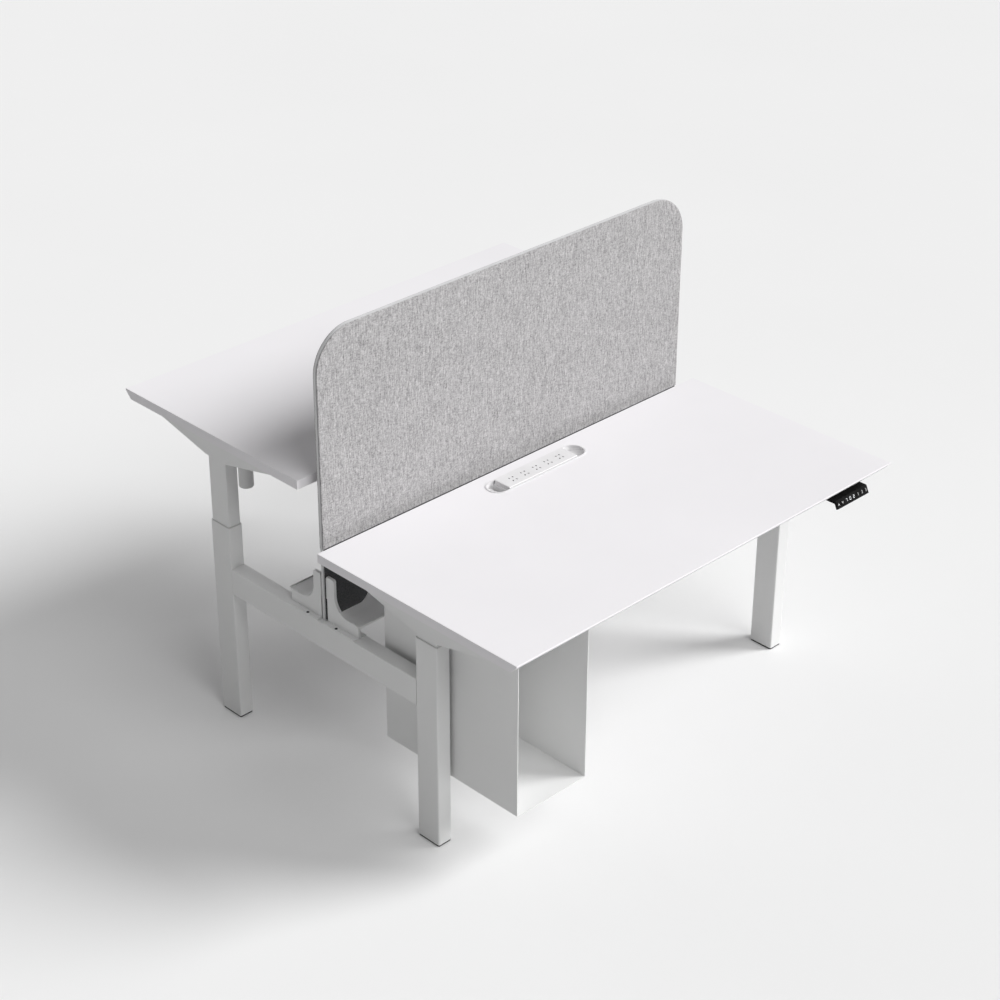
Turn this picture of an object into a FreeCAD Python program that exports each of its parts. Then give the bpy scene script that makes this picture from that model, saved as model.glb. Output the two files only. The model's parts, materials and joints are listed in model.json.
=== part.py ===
"""A back-to-back sit-stand desk: two lifting desktops on shared leg frames, with a screen between.

Millimetres. The origin is on the floor, midway between the four columns. +X runs along the
desktops, +Y from the near user to the far user, and +Z is up. The near desktop is drawn at its
lowest height and the far one is drawn raised, as the desk is seen in use.
"""
import FreeCAD, Part
import math
import os

from FreeCAD import Vector

# Desktops
desk_width = 1400.0
desk_depth = 700.0
desk_thickness = 25.0
desk_low = 702.0
desk_gap = 66.0
desk_high = 882.0
stroke = 450.0
edge_tip = 4.0
bevel_run = 20.0
edge_round = 1.2

# Telescopic columns
tube_x = 44.0
tube_y = 76.0
tube_wall = 1.5
tube_round = 4.0
telescope_step = 3.0
column_inset = 50.0
column_setback = 363.0
inner_start = 44.0

# Levelling feet and column bases
foot_height = 5.0
foot_inset = 1.0
foot_round = 1.0
stud_radius = 4.0
stud_length = 28.0
base_plate = 8.0
post_radius = 14.0
post_bore = 10.0

# Lifting spindles and their nuts
spindle_radius = 8.0
spindle_start = 48.0
spindle_grip = 20.0
nut_height = 30.0
nut_margin = 2.0

# Guides between the tubes
collar_depth = 40.0
collar_lip = 2.0
collar_set_in = 0.4
glide_height = 40.0

# Cross beams
beam_top = 474.0
beam_height = 77.0
beam_wall = 2.0

# Arms under the desktops
arm_wall = 2.0
arm_drop = 67.0
arm_gap = 14.0
arm_flat = 42.0
arm_reach = 304.0
arm_tip = 6.5

# Rails between the arms
rail_width = 40.0
rail_height = 25.0
rail_wall = 2.0
rail_gap = 140.0

# Gearboxes, motors and drive shafts
motor_offset = 95.0
motor_radius = 19.5
motor_drop = 115.0
motor_round = 3.0
gearbox_width = 36.0
gearbox_height = 30.0
gearbox_top_gap = 6.0
gearbox_overhang = 21.0
shaft_radius = 6.0
shaft_drop = 16.0

# Tray brackets on the beams
bracket_inset = 16.0
bracket_thickness = 8.0
bracket_height = 133.0
bracket_clear = 12.0
bracket_tab = 28.0
bracket_round = 6.0
bracket_curve = 50.0
bracket_foot = 36.0
bracket_reach = 128.0
flange_thickness = 3.0
flange_edge = 1.0
nose_height = 60.0
nose_step = 3.0

# Cable trays
tray_sheet = 1.5
tray_overhang = 8.0
tray_hem = 4.0
tray_notch_low = 47.0
tray_notch_flat = 61.0

# Screen
screen_lap = 9.0
screen_top = 1275.0
screen_round = 115.0
core_width = 10.0
trim_groove = 1.5
trim_depth = 4.0
cover_thickness = 2.0
cover_inset = 1.0
cover_drop = 18.0

# Power module in the near desktop
module_setback = 69.0
module_span = 280.0
module_radius = 32.0
sleeve_wall = 1.5
sleeve_drop = 6.0
rim_width = 2.5
rim_height = 1.5
scoop_slot = 11.0
scoop_lip = 8.0
scoop_depth = 17.0
scoop_sheet = 2.0
block_length = 258.0
block_shoulder = 2.0
block_groove = 8.0
block_round = 2.0
block_rise = 4.0
block_drop = 22.0
socket_count = 5
socket_pitch = 43.5
pin_width = 3.4
pin_length = 5.6
pin_slit = 1.4
pin_spread = 6.4
pin_row = 7.8
pin_depth = 16.0
pin_angle = 30.0

# Control boxes
box_length = 240.0
box_width = 90.0
box_height = 34.0
box_setback = 137.0
box_round = 5.0

# Handsets and their buttons
handset_gap = 33.0
handset_length = 130.0
handset_reach = 2.0
handset_depth = 95.0
handset_thickness = 8.5
face_length = 23.0
face_angle = 64.0
face_plate = 5.5
button_length = 12.0
button_width = 13.0
button_height = 3.0
button_round = 2.0
button_rise = 0.8
button_travel = 1.0
button_pitch = 16.2
display_slot = -0.5
display_length = 44.0
display_width = 13.0
display_depth = 0.6
button_slots = {"up": -3.5, "down": -2.5, "one": 1.5, "two": 2.5, "three": 3.5}

# Computer holder under the near desktop
holder_width = 240.0
holder_depth = 471.0
holder_sheet = 2.0
holder_bottom = 188.0
holder_side_gap = 10.0
holder_setback = 76.0
holder_flange = 25.0

# Screws
screw_radius = 2.5
screw_head_radius = 4.0
screw_head = 2.0
screw_bite = 14.0
screw_wall_bite = 6.0
screw_gap = 0.1
bracket_screw_y = 55.0
bracket_screw_edge = 6.0
rail_screw_first = 150.0
rail_screw_second = 330.0

# Clearances
slide_clearance = 0.3
running_clearance = 0.05
fit_clearance = 0.1
match_gap = 0.01

# Places worked out from the sizes above
under = desk_low - desk_thickness
far_raise = desk_high - desk_low
rear_y = -desk_gap / 2
front_y = rear_y - desk_depth
column_x = desk_width / 2 - column_inset
column_y = rear_y - column_setback
arm_bottom = under - arm_drop
outer_top = arm_bottom - arm_gap
bore_x = tube_x - 2 * tube_wall
bore_y = tube_y - 2 * tube_wall
bore_round = tube_round - tube_wall
inner_x = tube_x - 2 * telescope_step
inner_y = tube_y - 2 * telescope_step
gearbox_bottom = under - gearbox_top_gap - gearbox_height
nut_start = spindle_start + stroke + nut_margin
bracket_x = column_x + tube_x / 2 - bracket_inset
screen_half = core_width / 2 + cover_thickness
cover_low = desk_low - cover_drop
rail_bottom = under - rail_height
handset_x = column_x - tube_x / 2 - handset_gap - handset_length / 2
holder_x = -column_x + tube_x / 2 + holder_side_gap
holder_y = front_y + holder_setback
module_y = rear_y - module_setback


def block(x0, x1, y0, y1, z0, z1):
    """A box between two corners."""
    return Part.makeBox(x1 - x0, y1 - y0, z1 - z0, Vector(x0, y0, z0))


def rod(radius, x, y, z0, z1):
    """A round bar along Z."""
    return Part.makeCylinder(radius, z1 - z0, Vector(x, y, z0))


def upright_edges(shape):
    """The edges of a shape that run along Z."""
    return [e for e in shape.Edges if abs(e.tangentAt(e.FirstParameter).z) > 0.999]


def bar(size_x, size_y, radius, x, y, z0, z1):
    """An upright bar with rounded corners, centred on x and y."""
    body = block(x - size_x / 2, x + size_x / 2, y - size_y / 2, y + size_y / 2, z0, z1)
    return body.makeFillet(radius, upright_edges(body))


def slab(points, x0, x1):
    """A polygon in the YZ plane, drawn out along X."""
    corners = [Vector(x0, y, z) for y, z in points]
    face = Part.Face(Part.makePolygon(corners + corners[:1]))
    return face.extrude(Vector(x1 - x0, 0, 0))


def arc(start, middle, end):
    """A circular edge through three points."""
    return Part.Arc(start, middle, end).toShape()


def line(start, end):
    """A straight edge."""
    return Part.LineSegment(start, end).toShape()


def stadium(radius, span, y, z0, z1):
    """An upright bar with two half-round ends, centred on X = 0."""
    ends = [rod(radius, side * span / 2, y, z0, z1) for side in (-1, 1)]
    middle = block(-span / 2, span / 2, y - radius, y + radius, z0, z1)
    return middle.fuse(ends).removeSplitter()


def screw(x, y, z, up, length):
    """A screw whose head rests on the plane z, with its shank going up or down from there."""
    sign = 1 if up else -1
    head_start = z - screw_head if up else z
    head = rod(screw_head_radius, x, y, head_start, head_start + screw_head)
    shank = rod(screw_radius, x, y, min(z, z + sign * length), max(z, z + sign * length))
    return head.fuse(shank).removeSplitter()


def screw_hole(x, y, z0, z1):
    """The hole that a screw passes through."""
    return rod(screw_radius + screw_gap, x, y, z0, z1)


def turned(shape):
    """A copy for the far desk: turned half a turn about Z and raised."""
    copy = shape.copy()
    copy.rotate(Vector(0, 0, 0), Vector(0, 0, 1), 180)
    copy.translate(Vector(0, 0, far_raise))
    return copy


def save(name, *solids):
    """Writes one node, as one solid or as a group of separate solids."""
    shape = solids[0] if len(solids) == 1 else Part.makeCompound(list(solids))
    shape.exportStep("parts/" + name + ".step")


# Columns, in the order left near, left far, right near, right far
def columns():
    for side, x in (("left", -column_x), ("right", column_x)):
        for row, y in (("near", column_y), ("far", -column_y)):
            yield side + "_" + row, x, y, row == "far"


def outer_tube(x, y):
    outside = bar(tube_x, tube_y, tube_round, x, y, foot_height, outer_top)
    return outside.cut(bar(bore_x, bore_y, bore_round, x, y, foot_height, outer_top))


def base_post(x, y):
    """The plate in the foot of a column, with the tube that carries the spindle nut."""
    plate_top = foot_height + base_plate
    plate = bar(bore_x, bore_y, bore_round, x, y, foot_height, plate_top)
    post = rod(post_radius, x, y, plate_top, nut_start)
    post = post.cut(rod(post_bore, x, y, plate_top, nut_start))
    stud_hole = rod(stud_radius + running_clearance, x, y, foot_height, plate_top)
    return plate.cut(stud_hole).fuse(post).removeSplitter()


def spindle_nut(x, y):
    nut = rod(post_radius, x, y, nut_start, nut_start + nut_height)
    return nut.cut(rod(spindle_radius + running_clearance, x, y, nut_start, nut_start + nut_height))


def guide_collar(x, y):
    """The plastic lining of an outer tube's mouth, with a lip on the tube's end."""
    start = outer_top - collar_depth
    sleeve_x = bore_x - 2 * fit_clearance
    sleeve_y = bore_y - 2 * fit_clearance
    sleeve = bar(sleeve_x, sleeve_y, bore_round, x, y, start, outer_top)
    lip_x = tube_x - 2 * collar_set_in
    lip_y = tube_y - 2 * collar_set_in
    lip = bar(lip_x, lip_y, tube_round, x, y, outer_top, outer_top + collar_lip)
    way_x = inner_x + 2 * slide_clearance
    way_y = inner_y + 2 * slide_clearance
    way = bar(way_x, way_y, bore_round, x, y, start, outer_top + collar_lip)
    return sleeve.fuse(lip).cut(way).removeSplitter()


def levelling_foot(x, y):
    """A low pad under the whole column, on a threaded stud."""
    pad = bar(tube_x - 2 * foot_inset, tube_y - 2 * foot_inset, tube_round, x, y, 0, foot_height)
    pad = pad.makeFillet(foot_round, [e for e in pad.Edges if max(v.Z for v in e.Vertexes) < match_gap])
    return pad.fuse(rod(stud_radius, x, y, foot_height, foot_height + stud_length)).removeSplitter()


def spindle(x, y):
    return rod(spindle_radius, x, y, spindle_start, gearbox_bottom + spindle_grip)


def cross_beam(x):
    """A rectangular tube between the near and far columns of one side."""
    reach = -column_y - tube_y / 2
    bottom = beam_top - beam_height
    half = tube_x / 2
    outside = block(x - half, x + half, -reach, reach, bottom, beam_top)
    rounded = [e for e in outside.Edges if abs(e.tangentAt(e.FirstParameter).y) > 0.999]
    outside = outside.makeFillet(tube_round - tube_wall, rounded)
    hollow = block(
        x - half + beam_wall, x + half - beam_wall, -reach, reach, bottom + beam_wall, beam_top - beam_wall
    )
    beam = outside.cut(hollow)
    for hole_x, y in bracket_screws(x):
        beam = beam.cut(screw_hole(hole_x, y, beam_top - beam_wall, beam_top))
    return beam


# Tray brackets and trays
def bracket_screws(x):
    """Where the bracket screws of one beam stand: outboard and inboard of each bracket."""
    outboard = tube_x / 2 - bracket_screw_edge
    return [(x + way * outboard, row * bracket_screw_y) for way in (-1, 1) for row in (-1, 1)]


def tray_screw_y():
    return bracket_reach - bracket_foot / 2


def curve_line(offset):
    """The curved line of a bracket's inner edge, moved towards the tray by an offset.

    Gives the three edges of the line, in the YZ plane on the near side of the screen.
    """
    wall = -(bracket_clear + bracket_tab) - offset
    floor = beam_top + bracket_foot + offset
    radius = bracket_curve - offset
    centre_y = wall - radius
    centre_z = floor + radius
    diagonal = radius * math.sqrt(0.5)
    top = Vector(0, wall, beam_top + bracket_height)
    start = Vector(0, wall, centre_z)
    middle = Vector(0, centre_y + diagonal, centre_z - diagonal)
    end = Vector(0, centre_y, floor)
    return top, start, middle, end


def bracket(x, row):
    """A plate on edge with a concave curve, on a flange, with a nose that steadies the screen."""
    side = 1 if x > 0 else -1
    top, start, middle, end = curve_line(0)
    out_y = -bracket_reach
    foot_end = Vector(0, out_y, end.z)
    corner = Vector(0, out_y, beam_top)
    inner_low = Vector(0, -bracket_clear, beam_top)
    inner_high = Vector(0, -bracket_clear, top.z)
    edges = [line(top, start), arc(start, middle, end), line(end, foot_end), line(foot_end, corner)]
    edges += [line(corner, inner_low), line(inner_low, inner_high), line(inner_high, top)]
    face = Part.Face(Part.Wire(edges))
    plate = face.extrude(Vector(bracket_thickness, 0, 0))
    softened = [e for e in plate.Edges if is_bracket_corner(e, top, foot_end)]
    plate = plate.makeFillet(bracket_round, softened)
    start_x = bracket_x - bracket_thickness if side > 0 else -bracket_x
    plate.translate(Vector(start_x, 0, 0))
    edge = tube_x / 2 - flange_edge
    beam_x = side * column_x
    flange = block(beam_x - edge, beam_x + edge, out_y, -bracket_clear, beam_top, beam_top + flange_thickness)
    nose_x = bracket_x - bracket_thickness
    nose_end = bracket_x - nose_step
    nose_top = beam_top + bracket_height - bracket_thickness
    nose = block(
        min(side * nose_x, side * nose_end), max(side * nose_x, side * nose_end),
        -bracket_clear, -core_width / 2 - slide_clearance, nose_top - nose_height, nose_top
    )
    whole = plate.fuse([flange, nose]).removeSplitter()
    for hole_x, y in bracket_screws(beam_x):
        if y < 0:
            whole = whole.cut(screw_hole(hole_x, y, beam_top, beam_top + flange_thickness))
    seat = end.z
    whole = whole.cut(screw_hole(side * tray_screw_x(), -tray_screw_y(), seat - screw_bite, seat))
    if row == "far":
        whole = whole.mirror(Vector(0, 0, 0), Vector(0, 1, 0))
    return whole


def is_bracket_corner(edge, top, foot_end):
    """True for the rounded-off edges of a bracket: the top of its tab and the end of its foot."""
    along = abs(edge.tangentAt(edge.FirstParameter).x) > 0.999
    place = edge.Vertexes[0].Point
    at_top = abs(place.y - top.y) < match_gap and abs(place.z - top.z) < match_gap
    at_foot = abs(place.y - foot_end.y) < match_gap and abs(place.z - foot_end.z) < match_gap
    return along and (at_top or at_foot)


def tray_screw_x():
    return bracket_x - bracket_thickness / 2


def tray_notch(side):
    """The cut that takes the upper part of a tray's back wall away at one end, up to a round corner."""
    low = beam_top + tray_notch_low
    high = beam_top + bracket_height
    radius = high - low
    flat = bracket_x - tray_notch_flat
    diagonal = radius * math.sqrt(0.5)
    beyond = bracket_x + tray_sheet
    above = high + tray_sheet
    path = [(beyond, low), (flat, low), (flat - radius, high), (flat - radius, above), (beyond, above)]
    corners = [Vector(side * x, -bracket_reach, z) for x, z in path]
    turn = Vector(side * (flat - diagonal), -bracket_reach, high - diagonal)
    edges = [line(corners[0], corners[1]), arc(corners[1], turn, corners[2]), line(corners[2], corners[3])]
    edges += [line(corners[3], corners[4]), line(corners[4], corners[0])]
    return Part.Face(Part.Wire(edges)).extrude(Vector(0, bracket_reach, 0))


def cable_tray(row):
    """A bent sheet that lies in the brackets' curve, with a small turned-up hem and notched ends."""
    top, start, middle, end = curve_line(slide_clearance)
    top_in, start_in, middle_in, end_in = curve_line(slide_clearance + tray_sheet)
    lip_y = -bracket_reach - tray_overhang
    hem_top = end.z + tray_sheet + tray_hem
    lip = [Vector(0, lip_y, end.z), Vector(0, lip_y, hem_top)]
    lip += [Vector(0, lip_y + tray_sheet, hem_top), Vector(0, lip_y + tray_sheet, end_in.z)]
    edges = [line(top, start), arc(start, middle, end), line(end, lip[0])]
    edges += [line(lip[0], lip[1]), line(lip[1], lip[2]), line(lip[2], lip[3]), line(lip[3], end_in)]
    edges += [arc(end_in, middle_in, start_in), line(start_in, top_in), line(top_in, top)]
    sheet = Part.Face(Part.Wire(edges)).extrude(Vector(2 * bracket_x, 0, 0))
    sheet.translate(Vector(-bracket_x, 0, 0))
    for side in (-1, 1):
        sheet = sheet.cut(screw_hole(side * tray_screw_x(), -tray_screw_y(), end.z, end_in.z))
        sheet = sheet.cut(tray_notch(side))
    if row == "far":
        sheet = sheet.mirror(Vector(0, 0, 0), Vector(0, 1, 0))
    return sheet


def frame_screws():
    """The screws of the brackets and of the trays."""
    found = []
    for side in (-1, 1):
        for x, y in bracket_screws(side * column_x):
            found.append(screw(x, y, beam_top + flange_thickness, False, flange_thickness + beam_wall))
        for row in (-1, 1):
            z = beam_top + bracket_foot + slide_clearance + tray_sheet
            found.append(screw(side * tray_screw_x(), row * tray_screw_y(), z, False, screw_bite))
    return found


# Screen
def screen_panel(inset, low, y0, y1):
    """An upright panel with two rounded upper corners, smaller at its sides and top by an inset."""
    half = column_x + screen_lap - inset
    high = screen_top - inset
    radius = screen_round - inset
    diagonal = radius * (1 - math.sqrt(0.5))
    left_low = Vector(-half, y0, low)
    left_high = Vector(-half, y0, high - radius)
    left_mid = Vector(-half + diagonal, y0, high - diagonal)
    top_left = Vector(-half + radius, y0, high)
    top_right = Vector(half - radius, y0, high)
    right_mid = Vector(half - diagonal, y0, high - diagonal)
    right_high = Vector(half, y0, high - radius)
    right_low = Vector(half, y0, low)
    edges = [line(left_low, left_high), arc(left_high, left_mid, top_left), line(top_left, top_right)]
    edges += [arc(top_right, right_mid, right_high), line(right_high, right_low), line(right_low, left_low)]
    return Part.Face(Part.Wire(edges)).extrude(Vector(0, y1 - y0, 0))


def screen_pieces():
    """A dark board, a trim round its edge, and on each face a cloth cover that ends below the desktop."""
    half = core_width / 2
    core = screen_panel(trim_depth, beam_top + trim_depth, -half, half)
    trim = screen_panel(0, beam_top, -half + trim_groove, half - trim_groove).cut(core)
    near_cover = screen_panel(cover_inset, cover_low, -screen_half, -half)
    far_cover = screen_panel(cover_inset, cover_low, half, screen_half)
    return core, trim, near_cover, far_cover


# Parts of one desk, drawn for the near desk
def desktop():
    """A board whose user edge is cut back underneath to a thin tip."""
    section = [(rear_y, under), (rear_y, desk_low), (front_y, desk_low)]
    section += [(front_y, desk_low - edge_tip), (front_y + bevel_run, under)]
    board = slab(section, -desk_width / 2, desk_width / 2)
    softened = [e for e in board.Edges if min(v.Z for v in e.Vertexes) > desk_low - edge_tip + match_gap]
    softened += [e for e in upright_edges(board) if max(v.Y for v in e.Vertexes) > rear_y - match_gap]
    board = board.makeFillet(edge_round, softened)
    for x, y, z in rail_screws():
        board = board.cut(screw_hole(x, y, under, under + screw_bite))
    return board


def rail_lines():
    middle = (rail_gap + rail_width) / 2
    return [column_y - middle, column_y + middle]


def rail_screws():
    places = [-rail_screw_second, -rail_screw_first, rail_screw_first, rail_screw_second]
    return [(x, y, rail_bottom) for x in places for y in rail_lines()]


def holder_screws():
    left = holder_x + holder_flange / 2
    right = holder_x + holder_width + holder_flange / 2
    return [(x, y, rail_bottom - holder_sheet) for x in (left, right) for y in rail_lines()]


def rail(y):
    """A flat tube from arm to arm under the desktop."""
    reach = column_x - tube_x / 2
    half = rail_width / 2
    outside = block(-reach, reach, y - half, y + half, rail_bottom, under)
    hollow = block(
        -reach, reach, y - half + rail_wall, y + half - rail_wall, rail_bottom + rail_wall, under - rail_wall
    )
    tube = outside.cut(hollow)
    for x, screw_y, z in rail_screws():
        if screw_y == y:
            tube = tube.cut(screw_hole(x, y, rail_bottom, under))
    return tube


def wing(reach, flat, bottom, tip, x0, x1):
    """The side view of an arm: deepest at the column, rising to both ends."""
    section = [(column_y - reach, under), (column_y - reach, under - tip), (column_y - flat, bottom)]
    section += [(column_y + flat, bottom), (column_y + reach, under - tip), (column_y + reach, under)]
    return slab(section, x0, x1)


def arm(x):
    """A wing-shaped channel, open at the top, with ways for the inner tube, the shaft and a motor."""
    half = tube_x / 2
    outside = wing(arm_reach, arm_flat, arm_bottom, arm_tip, x - half, x + half)
    rounded = [e for e in outside.Edges if is_arm_keel(e, x - half, x + half)]
    outside = outside.makeFillet(arm_wall / 2, rounded)
    hollow = wing(
        arm_reach - arm_wall, arm_flat, arm_bottom + arm_wall, arm_tip - arm_wall,
        x - half + arm_wall, x + half - arm_wall
    )
    tube_way = bar(
        inner_x + 2 * fit_clearance, inner_y + 2 * fit_clearance, bore_round, x, column_y,
        arm_bottom, under
    )
    shaft_way = drive_shaft(shaft_radius + slide_clearance, column_x)
    channel = outside.cut(hollow).cut(tube_way).cut(shaft_way)
    if x < 0:
        return channel
    way = motor_radius + slide_clearance
    return channel.cut(rod(way, x, column_y + motor_offset, arm_bottom, gearbox_bottom))


def is_arm_keel(edge, x0, x1):
    """True for the long lower edges of an arm, on its two side faces."""
    on_side = all(min(abs(v.X - x0), abs(v.X - x1)) < match_gap for v in edge.Vertexes)
    below = all(v.Z < under - match_gap for v in edge.Vertexes)
    lengthwise = abs(edge.tangentAt(edge.FirstParameter).y) > 0.5
    return on_side and below and lengthwise


def inner_tube(x):
    outside = bar(inner_x, inner_y, bore_round, x, column_y, inner_start, gearbox_bottom)
    hollow = bar(
        inner_x - 2 * tube_wall, inner_y - 2 * tube_wall, bore_round - tube_wall / 2, x, column_y,
        inner_start, gearbox_bottom
    )
    return outside.cut(hollow)


def glide_ring(x):
    """The plastic ring on an inner tube's lower end."""
    end = inner_start + glide_height
    ring_x = bore_x - 2 * slide_clearance
    ring_y = bore_y - 2 * slide_clearance
    ring = bar(ring_x, ring_y, bore_round, x, column_y, inner_start, end)
    seat_x = inner_x + 2 * running_clearance
    seat_y = inner_y + 2 * running_clearance
    return ring.cut(bar(seat_x, seat_y, bore_round, x, column_y, inner_start, end))


def gearbox(x, back_y):
    """A gearbox on an inner tube's end, as deep as a line behind the tube, with the spindle's socket."""
    half = gearbox_width / 2
    top = gearbox_bottom + gearbox_height
    box = block(x - half, x + half, column_y - inner_y / 2, back_y, gearbox_bottom, top)
    socket_top = gearbox_bottom + spindle_grip + slide_clearance
    return box.cut(rod(spindle_radius + running_clearance, x, column_y, gearbox_bottom, socket_top))


def drive_shaft(radius, reach):
    """A round bar along X that crosses both columns."""
    return Part.makeCylinder(radius, 2 * reach, Vector(-reach, column_y, under - shaft_drop), Vector(1, 0, 0))


def lift_drive():
    """A gearbox with a hanging motor at the right, and a covered shaft to the gearbox at the left."""
    motor_y = column_y + motor_offset
    can = rod(motor_radius, column_x, motor_y, under - motor_drop, gearbox_bottom)
    low = [e for e in can.Edges if max(v.Z for v in e.Vertexes) < under - motor_drop + match_gap]
    can = can.makeFillet(motor_round, low)
    right = gearbox(column_x, motor_y + gearbox_overhang).fuse(can).removeSplitter()
    left = gearbox(-column_x, column_y + inner_y / 2)
    return [left, drive_shaft(shaft_radius, column_x - gearbox_width / 2), right]


def control_box():
    y1 = rear_y - box_setback
    box = block(-box_length / 2, box_length / 2, y1 - box_width, y1, under - box_height, under)
    return box.makeFillet(box_round, upright_edges(box))


# Handset
def face_frame():
    """The place of the sloping button face: its upper edge, its way down and its outward way."""
    angle = math.radians(face_angle)
    ridge = Vector(handset_x, front_y - handset_reach, under)
    down = Vector(0, -math.cos(angle), -math.sin(angle))
    outward = Vector(0, -math.sin(angle), math.cos(angle))
    return ridge, down, outward


def on_face(shape):
    """Lays a shape, drawn flat about the origin with +Z outward, on the middle of the face."""
    ridge, down, outward = face_frame()
    middle = ridge + down * (face_length / 2)
    copy = shape.copy()
    copy.rotate(Vector(0, 0, 0), Vector(1, 0, 0), face_angle)
    copy.translate(middle)
    return copy


def button_shape(name, gap, low, high):
    """A button cap, or with a gap the pocket that it moves in."""
    length = button_length + 2 * gap
    width = button_width + 2 * gap
    return on_face(bar(length, width, button_round, button_slots[name] * button_pitch, 0, low, high))


def button(name):
    return button_shape(name, 0, button_rise - button_height, button_rise)


def handset_case():
    """A flat case under the desktop's user edge, with a steep face plate that holds the buttons."""
    ridge, down, outward = face_frame()
    foot = ridge + down * face_length
    heel = foot - outward * face_plate
    floor = under - handset_thickness
    bend = heel + down * ((floor - heel.z) / down.z)
    back_y = front_y - handset_reach + handset_depth
    section = [(back_y, under)] + [(p.y, p.z) for p in (ridge, foot, heel, bend)] + [(back_y, floor)]
    half = handset_length / 2
    case = slab(section, handset_x - half, handset_x + half)
    pocket_floor = button_rise - button_height - button_travel - slide_clearance
    for name in button_slots:
        case = case.cut(button_shape(name, slide_clearance, pocket_floor, button_height))
    window_x = display_slot * button_pitch
    window = bar(display_length, display_width, display_depth, window_x, 0, -display_depth, button_height)
    return case.cut(on_face(window))


# Power module
def power_bezel():
    """A stadium-shaped sleeve through the near desktop, with a thin rim and two sloping scoops."""
    bottom = under - sleeve_drop
    outer = module_radius - fit_clearance
    sleeve = stadium(outer, module_span, module_y, bottom, desk_low)
    rim = stadium(module_radius + rim_width, module_span, module_y, desk_low, desk_low + rim_height)
    way = stadium(outer - sleeve_wall, module_span, module_y, bottom, desk_low + rim_height)
    scoops = [sleeve.common(scoop(side)) for side in (-1, 1)]
    return sleeve.fuse(rim).cut(way).fuse(scoops).removeSplitter()


def scoop(side):
    """A sheet that slopes down from one end of the sleeve and leaves a slot beside the sockets open."""
    start = side * (block_length / 2 + scoop_slot)
    end = side * (module_span / 2 + module_radius)
    deep = desk_low - scoop_depth
    lip = desk_low - scoop_lip
    section = [(start, deep), (end, lip), (end, lip - scoop_sheet), (start, deep - scoop_sheet)]
    corners = [Vector(x, module_y - module_radius, z) for x, z in section]
    return Part.Face(Part.makePolygon(corners + corners[:1])).extrude(Vector(0, 2 * module_radius, 0))


def socket_block():
    """The socket bar in the sleeve: a rounded top inside a groove. It leaves both round ends open."""
    half = module_radius - fit_clearance - sleeve_wall
    bottom = under - block_drop
    shoulder = desk_low - block_groove
    high = desk_low + block_rise
    base = block(-block_length / 2, block_length / 2, module_y - half, module_y + half, bottom, shoulder)
    top_half = half - block_shoulder
    top_end = block_length / 2 - block_shoulder
    top = block(-top_end, top_end, module_y - top_half, module_y + top_half, shoulder, high)
    softened = upright_edges(top) + [e for e in top.Edges if min(v.Z for v in e.Vertexes) > high - match_gap]
    body = base.fuse(top.makeFillet(block_round, softened)).removeSplitter()
    for index in range(socket_count):
        x = (index - (socket_count - 1) / 2) * socket_pitch
        body = body.cut(socket_pins(x))
    return body


def socket_pins(x):
    """The pin slots of one socket: a far pair joined by a slit, and a near pair at an angle."""
    high = desk_low + block_rise
    low = high - pin_depth
    thick = pin_width / 2
    long = pin_length / 2
    far_y = module_y + pin_row
    slit = pin_slit / 2
    slots = [block(x - pin_spread, x + pin_spread, far_y - slit, far_y + slit, low, high)]
    for side in (-1, 1):
        centre = x + side * pin_spread
        slots.append(block(centre - thick, centre + thick, far_y - long, far_y + long, low, high))
        slot = block(-thick, thick, -long, long, low, high)
        slot.rotate(Vector(0, 0, 0), Vector(0, 0, 1), side * pin_angle)
        slot.translate(Vector(centre, module_y - pin_row, 0))
        slots.append(slot)
    return slots


# Computer holder
def computer_holder():
    """A sheet folded to a U, hung by two flanges from the rails of the near desk."""
    y0 = holder_y
    y1 = holder_y + holder_depth
    top = rail_bottom
    x1 = holder_x + holder_width
    inside_low = holder_bottom + holder_sheet
    outside = block(holder_x, x1, y0, y1, holder_bottom, top)
    inside = block(holder_x + holder_sheet, x1 - holder_sheet, y0, y1, inside_low, top)
    lengthwise = [e for e in outside.Edges if is_low_fold(e)]
    folded = outside.makeFillet(2 * holder_sheet, lengthwise).cut(inside)
    left = block(holder_x, holder_x + holder_flange, y0, y1, top - holder_sheet, top)
    right = block(x1 - holder_sheet, x1 + holder_flange, y0, y1, top - holder_sheet, top)
    whole = folded.fuse([left, right]).removeSplitter()
    for x, y, z in holder_screws():
        whole = whole.cut(screw_hole(x, y, z, top))
    return whole


def is_low_fold(edge):
    """True for the two folds along the bottom of the holder."""
    along = abs(edge.tangentAt(edge.FirstParameter).y) > 0.999
    return along and edge.Vertexes[0].Z < holder_bottom + match_gap


def near_screws():
    found = [screw(x, y, z, True, rail_height + screw_bite) for x, y, z in rail_screws()]
    return found + [screw(x, y, z, True, holder_sheet + screw_wall_bite) for x, y, z in holder_screws()]


def far_screws():
    return [turned(screw(x, y, z, True, rail_height + screw_bite)) for x, y, z in rail_screws()]


os.makedirs("parts", exist_ok=True)

# Frame that stands on the floor
posts = []
nuts = []
collars = []
for name, x, y, raised in columns():
    save(name + "_outer_tube", outer_tube(x, y))
    save(name + "_foot", levelling_foot(x, y))
    rod_shape = spindle(x, y)
    if raised:
        rod_shape.translate(Vector(0, 0, far_raise))
    save(name + "_spindle", rod_shape)
    posts.append(base_post(x, y))
    nuts.append(spindle_nut(x, y))
    collars.append(guide_collar(x, y))
save("column_base_posts", *posts)
save("spindle_nuts", *nuts)
save("guide_collars", *collars)
save("left_cross_beam", cross_beam(-column_x))
save("right_cross_beam", cross_beam(column_x))
save("tray_brackets", *[bracket(side * column_x, row) for side in (-1, 1) for row in ("near", "far")])
save("near_cable_tray", cable_tray("near"))
save("far_cable_tray", cable_tray("far"))
save("frame_screws", *frame_screws())
core, trim, near_cover, far_cover = screen_pieces()
save("screen_core", core)
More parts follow.
